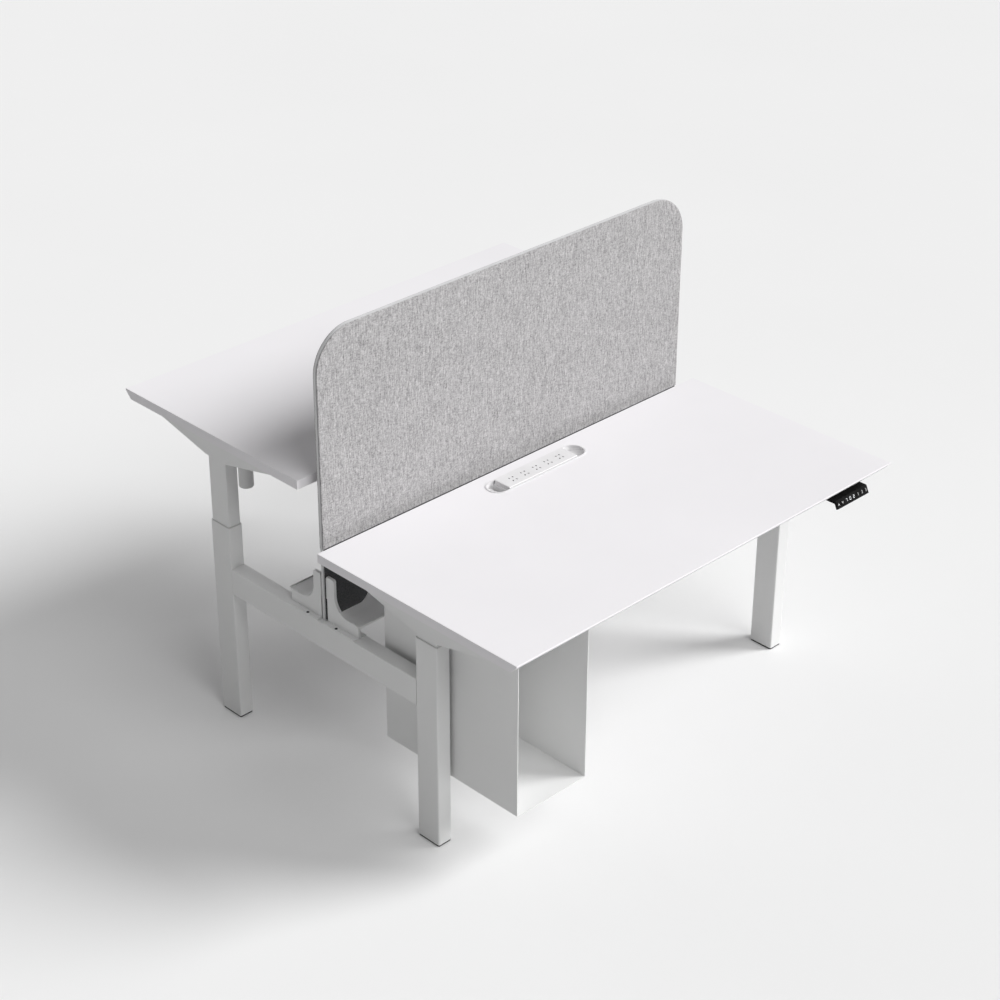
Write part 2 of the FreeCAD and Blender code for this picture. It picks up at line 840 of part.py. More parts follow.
save("screen_edge_trim", trim)
save("screen_near_cover", near_cover)
save("screen_far_cover", far_cover)

# Both desks: a shape for the near desk, and the same shape turned for the far desk
board = desktop()
module_way = stadium(module_radius, module_span, module_y, under, desk_low)
save("near_desktop", board.cut(module_way))
save("far_desktop", turned(board))
for side, sign in (("left", -1), ("right", 1)):
    save("near_" + side + "_arm", arm(sign * column_x))
    save("near_" + side + "_inner_tube", inner_tube(sign * column_x))
    save("far_" + side + "_arm", turned(arm(-sign * column_x)))
    save("far_" + side + "_inner_tube", turned(inner_tube(-sign * column_x)))
rails = [rail(y) for y in rail_lines()]
drive = lift_drive()
rings = [glide_ring(side * column_x) for side in (-1, 1)]
near_rails = []
for tube in rails:
    for x, y, z in holder_screws():
        tube = tube.cut(screw_hole(x, y, rail_bottom, rail_bottom + screw_wall_bite))
    near_rails.append(tube)
save("near_rails", *near_rails)
save("far_rails", *[turned(tube) for tube in rails])
save("near_lift_drive", *drive)
save("far_lift_drive", *[turned(piece) for piece in drive])
save("near_glide_rings", *rings)
save("far_glide_rings", *[turned(ring) for ring in rings])
save("near_control_box", control_box())
save("far_control_box", turned(control_box()))
save("near_handset_case", handset_case())
save("far_handset_case", turned(handset_case()))
for name in button_slots:
    save("near_button_" + name, button(name))
    save("far_button_" + name, turned(button(name)))
save("near_desk_screws", *near_screws())
save("far_desk_screws", *far_screws())

# Fittings of the near desk
save("power_bezel", power_bezel())
save("socket_block", socket_block())
save("computer_holder", computer_holder())
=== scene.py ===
"""The looks of a back-to-back standing desk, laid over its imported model. Lengths are in metres."""

import json
import math

import bmesh
import bpy
from mathutils import Matrix, Vector


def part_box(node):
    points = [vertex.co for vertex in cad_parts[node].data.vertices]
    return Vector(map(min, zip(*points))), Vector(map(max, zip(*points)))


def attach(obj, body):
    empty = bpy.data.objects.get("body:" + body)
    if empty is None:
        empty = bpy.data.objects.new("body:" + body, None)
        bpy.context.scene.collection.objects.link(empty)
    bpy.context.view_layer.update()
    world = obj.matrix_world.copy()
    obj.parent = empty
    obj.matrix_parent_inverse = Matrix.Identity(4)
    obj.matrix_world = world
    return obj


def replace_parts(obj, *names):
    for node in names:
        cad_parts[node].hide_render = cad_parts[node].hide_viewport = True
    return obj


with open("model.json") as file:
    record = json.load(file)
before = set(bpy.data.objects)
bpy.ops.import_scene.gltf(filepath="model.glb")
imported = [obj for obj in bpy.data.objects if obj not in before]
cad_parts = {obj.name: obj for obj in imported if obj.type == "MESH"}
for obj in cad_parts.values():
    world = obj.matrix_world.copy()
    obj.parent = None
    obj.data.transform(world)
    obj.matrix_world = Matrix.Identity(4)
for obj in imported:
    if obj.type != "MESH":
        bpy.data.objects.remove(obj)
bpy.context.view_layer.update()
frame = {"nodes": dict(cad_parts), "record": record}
scene = bpy.context.scene

# Both desks, in the order in which their pieces are made
ROWS = ("near", "far")

# Camera, with its angles in degrees
CAMERA_PLACE = (-3.80399, -3.83154, 3.62971)
CAMERA_YAW = 44.538
CAMERA_PITCH = 29.578
CAMERA_ROLL = 0.22
CAMERA_LENS = 82.93
SENSOR_WIDTH = 36.0
VIEW_REACH = 200.0

# Lamps, with their angles in degrees
KEY_LAMP = {"azimuth": 322, "height": 32, "width": 27, "energy": 3.2}
FILL_LAMP = {"azimuth": 267, "height": 47, "width": 36, "energy": 1.08}

# Room and floor: what they light the object with, and how light they look
ROOM_LIGHT = (-0.03, 0.43, 0.36)
ROOM_LEAST_LIGHT = 0.04
ROOM_SHOWN = 0.86
FLOOR_LIGHT = 0.71
FLOOR_SHOWN_DARK = 0.85
FLOOR_SHOWN_LIGHT = 0.86
FLOOR_REACH = 60.0

# Edges of new pieces that turn by more degrees than this stay sharp
SHARP_ANGLE = 32

# Materials: the range that a noise usually keeps to, and how finely softened corners are sampled
NOISE_LOW = 0.3
NOISE_HIGH = 0.7
BEVEL_SAMPLES = 4


# Camera, light and floor
def make_camera():
    """The photograph's view: from the near left, looking down."""
    yaw, pitch, roll = (math.radians(angle) for angle in (CAMERA_YAW, CAMERA_PITCH, CAMERA_ROLL))
    ahead = Vector((math.sin(yaw) * math.cos(pitch), math.cos(yaw) * math.cos(pitch), -math.sin(pitch)))
    right = Vector((math.cos(yaw), -math.sin(yaw), 0))
    up = right.cross(ahead)
    tilted_right = right * math.cos(roll) + up * math.sin(roll)
    tilted_up = up * math.cos(roll) - right * math.sin(roll)
    data = bpy.data.cameras.new("camera")
    data.sensor_width = SENSOR_WIDTH
    data.lens = CAMERA_LENS
    data.clip_end = VIEW_REACH
    camera = bpy.data.objects.new("camera", data)
    turn = Matrix((tilted_right, tilted_up, -ahead)).transposed().to_4x4()
    camera.matrix_world = Matrix.Translation(CAMERA_PLACE) @ turn
    scene.collection.objects.link(camera)
    scene.camera = camera


def make_lamp(name, azimuth, height, width, energy):
    """A far lamp at an azimuth from +X and a height, both in degrees, that looks some degrees wide."""
    turn, lift = math.radians(azimuth), math.radians(height)
    towards = Vector((math.cos(lift) * math.cos(turn), math.cos(lift) * math.sin(turn), math.sin(lift)))
    data = bpy.data.lights.new(name, "SUN")
    data.energy = energy
    data.angle = math.radians(width)
    lamp = bpy.data.objects.new(name, data)
    lamp.rotation_mode = "QUATERNION"
    lamp.rotation_quaternion = towards.to_track_quat("Z", "Y")
    scene.collection.objects.link(lamp)


def grey(level):
    """A colour with the same level of red, green and blue."""
    return (level, level, level)


def seen_rays(tree):
    """A value of 1 for what the camera sees directly, in a shiny surface or through glass, and else 0."""
    path = tree.nodes.new("ShaderNodeLightPath")
    glossy = tree.nodes.new("ShaderNodeMath")
    glossy.operation = "MAXIMUM"
    seen = tree.nodes.new("ShaderNodeMath")
    seen.operation = "MAXIMUM"
    tree.links.new(path.outputs["Is Glossy Ray"], glossy.inputs[0])
    tree.links.new(path.outputs["Is Transmission Ray"], glossy.inputs[1])
    tree.links.new(path.outputs["Is Camera Ray"], seen.inputs[0])
    tree.links.new(glossy.outputs[0], seen.inputs[1])
    return seen.outputs[0]


def make_world():
    """A room that is lightest above and behind the far desk. The camera sees it evenly pale."""
    world = bpy.data.worlds.new("room")
    scene.world = world
    world.use_nodes = True
    tree = world.node_tree
    tree.nodes.clear()
    place = tree.nodes.new("ShaderNodeTexCoord")
    side = tree.nodes.new("ShaderNodeVectorMath")
    side.operation = "DOT_PRODUCT"
    side.inputs[1].default_value = ROOM_LIGHT
    level = tree.nodes.new("ShaderNodeMath")
    level.operation = "MAXIMUM"
    level.inputs[1].default_value = ROOM_LEAST_LIGHT
    room = tree.nodes.new("ShaderNodeBackground")
    seen = tree.nodes.new("ShaderNodeBackground")
    seen.inputs["Color"].default_value = (*grey(ROOM_SHOWN), 1)
    mix = tree.nodes.new("ShaderNodeMixShader")
    out = tree.nodes.new("ShaderNodeOutputWorld")
    link = tree.links.new
    link(place.outputs["Generated"], side.inputs[0])
    link(side.outputs["Value"], level.inputs[0])
    link(level.outputs[0], room.inputs["Strength"])
    link(seen_rays(tree), mix.inputs[0])
    link(room.outputs[0], mix.inputs[1])
    link(seen.outputs[0], mix.inputs[2])
    link(mix.outputs[0], out.inputs["Surface"])


def make_floor():
    """A wide level floor under the object."""
    bm = bmesh.new()
    bmesh.ops.create_grid(bm, x_segments=2, y_segments=2, size=FLOOR_REACH)
    mesh = bpy.data.meshes.new("floor")
    bm.to_mesh(mesh)
    bm.free()
    mesh.materials.append(floor_look())
    floor = bpy.data.objects.new("floor", mesh)
    scene.collection.objects.link(floor)


# Materials
class Look:
    """A material in the making. Patterns follow the part's own coordinates, in metres."""

    def __init__(self, name):
        self.material = bpy.data.materials.new(name)
        self.material.use_nodes = True
        self.tree = self.material.node_tree
        self.shader = self.tree.nodes["Principled BSDF"]
        self.place = self.add("ShaderNodeTexCoord").outputs["Object"]

    def add(self, kind):
        return self.tree.nodes.new(kind)

    def link(self, source, target):
        self.tree.links.new(source, target)

    def set(self, socket, value):
        """Sets what is the same all over the surface."""
        self.shader.inputs[socket].default_value = value

    def noise(self, scale, detail=2.0, stretch=(1, 1, 1)):
        """Cloudy values about 0.5, with features about 1/scale metres wide."""
        mapping = self.add("ShaderNodeMapping")
        mapping.inputs["Scale"].default_value = [scale * s for s in stretch]
        node = self.add("ShaderNodeTexNoise")
        node.inputs["Scale"].default_value = 1.0
        node.inputs["Detail"].default_value = detail
        self.link(self.place, mapping.inputs["Vector"])
        self.link(mapping.outputs["Vector"], node.inputs["Vector"])
        return node.outputs["Fac"]

    def bands(self, axis, pitch, bend):
        """A smooth wave along one axis, whose crests are a pitch apart."""
        node = self.add("ShaderNodeTexWave")
        node.bands_direction = axis
        # At a scale of 1 the crests lie pi / 10 apart
        node.inputs["Scale"].default_value = math.pi / 10 / pitch
        node.inputs["Distortion"].default_value = bend
        node.inputs["Detail Scale"].default_value = 3.0
        self.link(self.place, node.inputs["Vector"])
        return node.outputs["Fac"]

    def compute(self, operation, first, second):
        """A sum or product of two values, each from a node or a plain number."""
        node = self.add("ShaderNodeMath")
        node.operation = operation
        for socket, value in zip(node.inputs, (first, second)):
            if isinstance(value, float):
                socket.default_value = value
            else:
                self.link(value, socket)
        return node.outputs[0]

    def total(self, parts):
        """The sum of values, each times its share."""
        scaled = [self.compute("MULTIPLY", value, share) for value, share in parts]
        result = scaled[0]
        for value in scaled[1:]:
            result = self.compute("ADD", result, value)
        return result

    def spread(self, value, low, high):
        """The usual range of a noise, stretched from low to high."""
        node = self.add("ShaderNodeMapRange")
        node.inputs["From Min"].default_value = NOISE_LOW
        node.inputs["From Max"].default_value = NOISE_HIGH
        node.inputs["To Min"].default_value = low
        node.inputs["To Max"].default_value = high
        self.link(value, node.inputs["Value"])
        return node.outputs["Result"]

    def paint(self, value, dark, light, low=NOISE_LOW, high=NOISE_HIGH):
        """Colours the surface from dark to light by a value, and returns that colour."""
        node = self.add("ShaderNodeValToRGB")
        first, last = node.color_ramp.elements
        first.position, last.position = low, high
        first.color = (*dark, 1)
        last.color = (*light, 1)
        self.link(value, node.inputs["Fac"])
        self.link(node.outputs["Color"], self.shader.inputs["Base Color"])
        return node.outputs["Color"]

    def rough(self, value, low, high):
        """Makes the surface's gloss uneven by a value."""
        self.link(self.spread(value, low, high), self.shader.inputs["Roughness"])

    def relief(self, value, distance, strength, edge=0.0):
        """Raises the surface by a value. An edge is the radius by which sharp corners are softened."""
        node = self.add("ShaderNodeBump")
        node.inputs["Distance"].default_value = distance
        node.inputs["Strength"].default_value = strength
        self.link(value, node.inputs["Height"])
        if edge:
            soft = self.add("ShaderNodeBevel")
            soft.samples = BEVEL_SAMPLES
            soft.inputs["Radius"].default_value = edge
            self.link(soft.outputs["Normal"], node.inputs["Normal"])
        self.link(node.outputs["Normal"], self.shader.inputs["Normal"])


def coat_look(name, dark, light, roughness):
    """Fine-textured powder coat: faint clouds in the white and a fine orange peel."""
    look = Look(name)
    look.paint(look.noise(3.0, detail=3.0), dark, light)
    look.rough(look.noise(45.0), roughness - 0.06, roughness + 0.06)
    look.relief(look.noise(950.0, detail=3.0), distance=0.00025, strength=0.22, edge=0.0009)
    return look.material


def laminate_look():
    """Matt white melamine: a very fine pearl texture and a slightly uneven sheen."""
    look = Look("white_melamine")
    look.paint(look.noise(2.2, detail=4.0), dark=(0.832, 0.818, 0.837), light=(0.858, 0.844, 0.864))
    look.rough(look.noise(14.0, detail=4.0), low=0.62, high=0.74)
    look.set("Specular IOR Level", 0.03)
    look.relief(look.noise(1500.0), distance=0.0001, strength=0.16, edge=0.0008)
    return look.material


def cloth_look():
    """Mottled plain weave: light and dark yarns and thicker slubs, which run mostly upright."""
    look = Look("melange_cloth")
    warp = look.noise(1.0, stretch=(700, 90, 170))
    weft = look.noise(1.0, stretch=(170, 90, 450))
    slubs = look.noise(1.0, detail=1.0, stretch=(620, 60, 50))
    clouds = look.noise(5.0)
    tone = look.total([(warp, 0.32), (weft, 0.33), (slubs, 0.32), (clouds, 0.03)])
    look.paint(tone, dark=(0.165, 0.16, 0.162), light=(0.648, 0.636, 0.641), low=0.34, high=0.66)
    upright, level = (look.bands(axis, pitch=0.0013, bend=0.6) for axis in ("X", "Z"))
    weave = look.compute("MULTIPLY", upright, level)
    look.relief(look.total([(weave, 0.55), (warp, 0.9)]), distance=0.0006, strength=0.55)
    look.rough(look.noise(300.0), low=0.86, high=0.98)
    look.set("Sheen Weight", 0.12)
    look.set("Sheen Roughness", 0.6)
    look.set("Specular IOR Level", 0.2)
    return look.material


def plastic_look(name, dark, light, roughness, shine=0.5):
    """Moulded plastic with a fine spark-eroded grain."""
    look = Look(name)
    look.set("Specular IOR Level", shine)
    look.paint(look.noise(18.0, detail=3.0), dark, light)
    look.rough(look.noise(120.0), roughness - 0.07, roughness + 0.07)
    look.relief(look.noise(1100.0), distance=0.00015, strength=0.25, edge=0.0005)
    return look.material


def shade_board_look():
    """The screen's fibre board, near-black all over as painted shade for the deep grooves beside the cloth
    and the gap below it.
    """
    look = Look("shade_dark_board")
    # Near-black colour: painted shade for the deep grooves round the cloth and the gap under the desktop
    look.paint(look.noise(220.0, detail=4.0), dark=(0.035, 0.035, 0.037), light=(0.075, 0.075, 0.078))
    look.rough(look.noise(90.0), low=0.8, high=0.95)
    look.relief(look.noise(700.0, detail=3.0), distance=0.0003, strength=0.4)
    return look.material


def steel_look():
    """Rolled steel thread: lighter at the crests and darker in the roots."""
    look = Look("rolled_steel")
    thread = look.bands("Z", pitch=0.004, bend=0.2)
    look.paint(thread, dark=(0.3, 0.3, 0.31), light=(0.64, 0.64, 0.65), low=0.1, high=0.8)
    look.rough(look.noise(200.0), low=0.25, high=0.42)
    look.relief(thread, distance=0.0012, strength=0.8)
    look.set("Metallic", 1.0)
    return look.material


def brass_look():
    """Turned brass with faint rings from the tool."""
    look = Look("turned_brass")
    look.paint(look.noise(60.0, detail=3.0), dark=(0.6, 0.42, 0.16), light=(0.74, 0.56, 0.27))
    look.rough(look.noise(150.0), low=0.24, high=0.38)
    look.relief(look.bands("Z", pitch=0.0006, bend=0.5), distance=0.0001, strength=0.3, edge=0.0004)
    look.set("Metallic", 1.0)
    return look.material


def screw_look():
    """Black-oxide steel, worn a little brighter here and there."""
    look = Look("black_oxide")
    look.paint(look.noise(380.0, detail=3.0), dark=(0.022, 0.022, 0.024), light=(0.06, 0.06, 0.062))
    look.rough(look.noise(500.0), low=0.34, high=0.52)
    look.relief(look.noise(1600.0), distance=0.0001, strength=0.3, edge=0.0002)
    look.set("Metallic", 0.6)
    return look.material


def window_look():
    """The dark smooth window of a height display."""
    look = Look("display_window")
    look.paint(look.noise(90.0), dark=(0.003, 0.003, 0.0035), light=(0.006, 0.006, 0.0065))
    look.rough(look.noise(400.0), low=0.3, high=0.42)
    look.set("Specular IOR Level", 0.1)
    return look.material


def glow_look():
    """The lit strokes of a height display."""
    look = Look("display_light")
    look.paint(look.noise(900.0), dark=(0.78, 0.8, 0.82), light=(0.9, 0.91, 0.92))
    look.rough(look.noise(900.0), low=0.4, high=0.5)
    look.set("Emission Color", (0.9, 0.95, 1, 1))
    look.set("Emission Strength", 0.2)
    return look.material


def print_look():
    """Grey printed signs, slightly uneven like screen print."""
    look = Look("grey_print")
    look.paint(look.noise(1400.0), dark=(0.46, 0.46, 0.455), light=(0.56, 0.56, 0.555))
    look.rough(look.noise(1200.0), low=0.5, high=0.65)
    return look.material


def floor_look():
    """A pale matt floor, which lights the object from below less than it shows."""
    look = Look("pale_floor")
    shown = look.paint(look.noise(0.8, detail=3.0), grey(FLOOR_SHOWN_DARK), grey(FLOOR_SHOWN_LIGHT))
    dim = look.add("ShaderNodeMix")
    dim.data_type = "RGBA"
    dim.inputs["A"].default_value = (*grey(FLOOR_LIGHT), 1)
    look.link(seen_rays(look.tree), dim.inputs["Factor"])
    look.link(shown, dim.inputs["B"])
    look.link(dim.outputs["Result"], look.shader.inputs["Base Color"])
    look.rough(look.noise(2.0), low=0.8, high=0.9)
    look.set("Specular IOR Level", 0.0)
    return look.material


# The look of each of the record's material slots
LOOKS = {
    "white_paint": coat_look("white_powder_coat", (0.785, 0.788, 0.785), (0.815, 0.817, 0.813), 0.48),
    "white_laminate": laminate_look(),
    "grey_cloth": cloth_look(),
    "screen_board": shade_board_look(),
    "light_trim": plastic_look("light_trim", (0.62, 0.62, 0.625), (0.69, 0.69, 0.695), 0.45),
    "black_plastic": plastic_look("black_moulding", grey(0.0025), grey(0.006), 0.55, shine=0.06),
    "button_plastic": plastic_look("button_caps", grey(0.003), grey(0.007), 0.5, shine=0.06),
    "foot_plastic": plastic_look("foot_pads", grey(0.008), grey(0.018), 0.6, shine=0.15),
    "guide_plastic": plastic_look("slide_plastic", (0.62, 0.62, 0.615), (0.72, 0.72, 0.71), 0.5),
    "white_plastic": plastic_look("white_moulding", (0.765, 0.758, 0.766), (0.8, 0.793, 0.801), 0.36),
    "box_plastic": plastic_look("black_housing", (0.018, 0.018, 0.019), (0.04, 0.04, 0.042), 0.55),
    "motor_paint": coat_look("motor_coat", (0.6, 0.6, 0.597), (0.66, 0.66, 0.656), 0.42),
    "spindle_steel": steel_look(),
    "nut_brass": brass_look(),
    "black_screws": screw_look(),
}
WINDOW = window_look()
GLOW = glow_look()
PRINT = print_look()


def dress_nodes():
    """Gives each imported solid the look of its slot."""
    for row in frame["record"]["subparts"]:
        mesh = frame["nodes"][row["node"]].data
        mesh.materials.clear()
        mesh.materials.append(LOOKS[row["material_slot"]])


# Making meshes
def loft(bm, rings, cap_first=True):
    """Joins closed rings of as many points each with quads, and caps the ends."""
    loops = [[bm.verts.new(point) for point in ring] for ring in rings]
    count = len(rings[0])
    for low, high in zip(loops, loops[1:]):
        for i in range(count):
            j = (i + 1) % count
            bm.faces.new((low[i], low[j], high[j], high[i]))
    if cap_first:
        bm.faces.new(list(reversed(loops[0])))
    bm.faces.new(loops[-1])


def make_piece(name, bm, body, material, place=Matrix.Identity(4)):
    """A new piece from a mesh, smooth except at its sharp edges, that moves with a body."""
    bmesh.ops.recalc_face_normals(bm, faces=bm.faces)
    bm.transform(place)
    mesh = bpy.data.meshes.new(name)
    bm.to_mesh(mesh)
    bm.free()
    mesh.shade_smooth()
    mesh.set_sharp_from_angle(angle=math.radians(SHARP_ANGLE))
    mesh.materials.append(material)
    piece = bpy.data.objects.new(name, mesh)
    scene.collection.objects.link(piece)
    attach(piece, body)
    return piece


def corner(x, y, radius, start, steps):
    """Points of a quarter circle about a centre, from a start in degrees."""
    angles = [math.radians(start + 90 * step / steps) for step in range(steps + 1)]
    return [(x + radius * math.cos(angle), y + radius * math.sin(angle)) for angle in angles]


def rounded(length, width, radius, steps=6):
    """Points round a rectangle with rounded corners about the origin."""
    across, along = length / 2 - radius, width / 2 - radius
    points = []
    for x, y, start in ((1, 1, 0), (-1, 1, 90), (-1, -1, 180), (1, -1, 270)):
        points += corner(x * across, y * along, radius, start, steps)
    return points


def ring(centre, z, reaches):
    """Evenly spaced points round a centre, each at its own reach."""
    step = math.tau / len(reaches)
    return [
        (centre.x + reach * math.cos(i * step), centre.y + reach * math.sin(i * step), z)
        for i, reach in enumerate(reaches)
    ]


def prism(bm, points, low, high):
    """A flat sign with the outline's points, from low to high."""
    loft(bm, [[(x, y, low) for x, y in points], [(x, y, high) for x, y in points]])


def solids_of(node):
    """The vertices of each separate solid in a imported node."""
    bm = bmesh.new()
    bm.from_mesh(frame["nodes"][node].data)
    bmesh.ops.remove_doubles(bm, verts=bm.verts, dist=1e-6)
    left = set(bm.verts)
    found = []
    for first in bm.verts:
        if first not in left:
            continue
        left.remove(first)
        stack = [first]
        solid = []
        while stack:
            vert = stack.pop()
            solid.append(vert.co.copy())
            for edge in vert.link_edges:
                other = edge.other_vert(vert)
                if other in left:
                    left.remove(other)
                    stack.append(other)
        found.append(solid)
    bm.free()
    return found


# The screen's cloth
SCREEN_ROUND = 0.114
SCREEN_ROUND_STEPS = 20
# How far the cloth's edge is drawn in, at each share of the cover's depth from the board outwards
COVER_EDGE = (
    (0.0006, 0.0), (0.0, 0.2), (0.0, 0.45), (0.0003, 0.7), (0.0009, 0.9), (0.0019, 1.0), (0.005, 1.0),
)


def cover_outline(half, low, high, inset, y):
    """Points round a cover, smaller by an inset, with its two upper corners rounded."""
    radius = SCREEN_ROUND - inset
    outline = [(-half + inset, low + inset), (half - inset, low + inset)]
    for side, start in ((1, 0), (-1, 90)):
        x, z = side * (half - inset - radius), high - inset - radius
        outline += corner(x, z, radius, start, SCREEN_ROUND_STEPS)
    return [(x, y, z) for x, z in outline]


def make_cover(name, node):
    """A cloth face of the screen, stretched over its board, with its edge turned in."""
    low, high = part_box(node)
    inner, outer = sorted((low.y, high.y), key=abs)
    depth = outer - inner
    bm = bmesh.new()
    loft(bm, [
        cover_outline(high.x, low.z, high.z, inset, inner + depth * share)
        for inset, share in COVER_EDGE
    ])
    cover = make_piece(name, bm, "base", LOOKS["grey_cloth"])
    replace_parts(cover, node)


# Handsets: the face leans by its tilt in degrees, and a button's rise is from its middle to its face
FACE_TILT = 64
BUTTON_KEYS = ("up", "down", "one", "two", "three")
BUTTON_RISE = 0.0015
NUMBERS = {"one": "1", "two": "2", "three": "3"}
NUMBER_SIZE = 0.0115
PRINT_THICK = 0.00003
ARROW = (
    (-0.0036, -0.0029), (0.0, 0.0033), (0.0036, -0.0029),
    (0.0016, -0.0029), (0.0, 0.0001), (-0.0016, -0.0029),
)

# Height displays, measured from a plane that lies a little deeper than the buttons' faces
DISPLAY_DEPTH = 0.0008
WINDOW_LENGTH = 0.0436
WINDOW_WIDTH = 0.0126
WINDOW_ROUND = 0.0005
WINDOW_LEAST_ROUND = 0.00005
WINDOW_TOP = -0.0001
WINDOW_THICK = 0.0005
# The window from its bottom up: how far below its top, and how far in from its outline
WINDOW_STEPS = ((WINDOW_THICK, 0.0), (0.0002, 0.0), (0.00006, 0.00006), (0.0, 0.0002), (0.0, 0.0004))
SHOWN_HEIGHT = {"near": "702", "far": "882"}
DIGIT_PITCH = 0.0148
DIGIT_WIDTH = 0.0046
DIGIT_HEIGHT = 0.0074
STROKE_WIDTH = 0.0012
STROKE_GAP = 0.16 * STROKE_WIDTH
STROKE_TOP = -0.00002
# The ends of a digit's strokes, as shares of its width and height, and the strokes that each digit lights
STROKES = {
    "a": ((0, 1), (1, 1)), "b": ((1, 1), (1, 0.5)), "c": ((1, 0.5), (1, 0)), "d": ((0, 0), (1, 0)),
    "e": ((0, 0), (0, 0.5)), "f": ((0, 0.5), (0, 1)), "g": ((0, 0.5), (1, 0.5)),
}
LIT = {"0": "abcdef", "2": "abged", "7": "abc", "8": "abcdefg"}


def digit_strokes(bm, digit, x):
    """The lit strokes of one display digit, pointed at both ends."""
    for name in LIT[digit]:
        start, end = (
            Vector((x + (u - 0.5) * DIGIT_WIDTH, (v - 0.5) * DIGIT_HEIGHT)) for u, v in STROKES[name]
        )
        along = (end - start).normalized()
        across = Vector((-along.y, along.x)) * STROKE_WIDTH / 2
        start, end = start + along * STROKE_GAP, end - along * STROKE_GAP
        inner_start, inner_end = start + along * STROKE_WIDTH / 2, end - along * STROKE_WIDTH / 2
        upper = [start, inner_start + across, inner_end + across]
        lower = [end, inner_end - across, inner_start - across]
        prism(bm, upper + lower, WINDOW_TOP, STROKE_TOP)


def window_mesh():
    """A bmesh of the display's window: a flat plate with rounded corners and a rounded upper edge."""
    bm = bmesh.new()
    rings = []
    for drop, inset in WINDOW_STEPS:
        radius = max(WINDOW_ROUND - inset, WINDOW_LEAST_ROUND)
        outline = rounded(WINDOW_LENGTH - 2 * inset, WINDOW_WIDTH - 2 * inset, radius)
        rings.append([(x, y, WINDOW_TOP - drop) for x, y in outline])
    loft(bm, rings)
    return bm


def number_mesh(text):
    """A bmesh of a printed number, centred, lying flat."""
    curve = bpy.data.curves.new("number", "FONT")
    curve.body = text
    curve.size = NUMBER_SIZE
    curve.align_x = "CENTER"
    curve.align_y = "CENTER"
    curve.extrude = PRINT_THICK
    holder = bpy.data.objects.new("number", curve)
    mesh = bpy.data.meshes.new_from_object(holder)
    bm = bmesh.new()
    bm.from_mesh(mesh)
    bpy.data.objects.remove(holder)
    bpy.data.curves.remove(curve)
    bpy.data.meshes.remove(mesh)
    return bm


def arrow_mesh(sign):
    """A bmesh of a chevron that points up the face, or down with a sign of -1."""
    bm = bmesh.new()
    prism(bm, [(x, sign * y) for x, y in ARROW], 0.0, 2 * PRINT_THICK)
    return bm


def make_handset(row):
    """The display and the printed signs of one handset."""
    turn = Matrix.Rotation(math.radians(FACE_TILT), 4, "X")
    if row == "far":
        turn = Matrix.Rotation(math.radians(180), 4, "Z") @ turn
    outward = turn @ Vector((0, 0, 1))
    faces = {}
    for key in BUTTON_KEYS:
        low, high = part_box(f"{row}_button_{key}")
        faces[key] = (low + high) / 2 + outward * BUTTON_RISE
    for key, face in faces.items():
        if key in NUMBERS:
            bm = number_mesh(NUMBERS[key])
        else:
            bm = arrow_mesh(1 if key == "up" else -1)
        place = Matrix.Translation(face + outward * PRINT_THICK) @ turn
        make_piece(f"{row}_sign_{key}", bm, f"{row}_button_{key}", PRINT, place)
    middle = (faces["down"] + faces["one"]) / 2 - outward * DISPLAY_DEPTH
    place = Matrix.Translation(middle) @ turn
    make_piece(f"{row}_display_window", window_mesh(), f"{row}_desk", WINDOW, place)
    bm = bmesh.new()
    for index, digit in enumerate(SHOWN_HEIGHT[row]):
        digit_strokes(bm, digit, (index - 1) * DIGIT_PITCH)
    make_piece(f"{row}_display_digits", bm, f"{row}_desk", GLOW, place)


# Screws
SCREW_POINTS = 24
SHANK_RADIUS = 0.0025
HEAD_RADIUS = 0.004
HEAD_HEIGHT = 0.002
HEX_RADIUS = 0.00125
HEX_DEPTH = 0.0013
# The domed head from its seat up: how far below its top, and its radius there
HEAD_STEPS = (
    (HEAD_HEIGHT, SHANK_RADIUS), (HEAD_HEIGHT, HEAD_RADIUS),
    (0.0013, HEAD_RADIUS), (0.0005, 0.0034), (0.0, 0.0022),
)
# Points of a plain screw that lie further out than this are on its head
HEAD_TEST_RADIUS = 0.0035
SAME_LEVEL = 1e-5
# Screws of the frame that reach above this level are in the trays
TRAY_LEVEL = 0.5


def hexagon_reaches():
    """The reach of the socket's hexagon at each point round a screw."""
    side = math.pi / 3
    step = math.tau / SCREW_POINTS
    turns = [(i * step + side / 2) % side - side / 2 for i in range(SCREW_POINTS)]
    return [HEX_RADIUS / math.cos(turn) for turn in turns]


def screw_rings(solid):
    """Rings of a domed socket screw in the place of a plain one, from its tip to its socket's floor."""
    middle = sum(solid, Vector()) / len(solid)
    low = min(v.z for v in solid)
    high = max(v.z for v in solid)
    head = [v.z for v in solid if (v.xy - middle.xy).length > HEAD_TEST_RADIUS]
    head_up = abs(max(head) - high) < SAME_LEVEL
    top, tip, out = (high, low, 1) if head_up else (low, high, -1)
    steps = [(tip, [SHANK_RADIUS] * SCREW_POINTS)]
    steps += [(top - out * drop, [radius] * SCREW_POINTS) for drop, radius in HEAD_STEPS]
    steps += [(top - out * drop, hexagon_reaches()) for drop in (0.0, HEX_DEPTH)]
    return [ring(middle, z, reaches) for z, reaches in steps]


def make_screws(name, body, slot, solids):
    """Domed socket screws in the places of plain ones."""
    bm = bmesh.new()
    for solid in solids:
        loft(bm, screw_rings(solid))
    return make_piece(name, bm, body, LOOKS[slot])


def make_frame_screws():
    """Black screws in the brackets' flanges, and painted ones in the trays."""
    in_flange, in_tray = [], []
    for solid in solids_of("frame_screws"):
        group = in_tray if max(v.z for v in solid) > TRAY_LEVEL else in_flange
        group.append(solid)
    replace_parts(make_screws("flange_socket_screws", "base", "black_screws", in_flange), "frame_screws")
    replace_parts(make_screws("tray_socket_screws", "base", "white_paint", in_tray), "frame_screws")


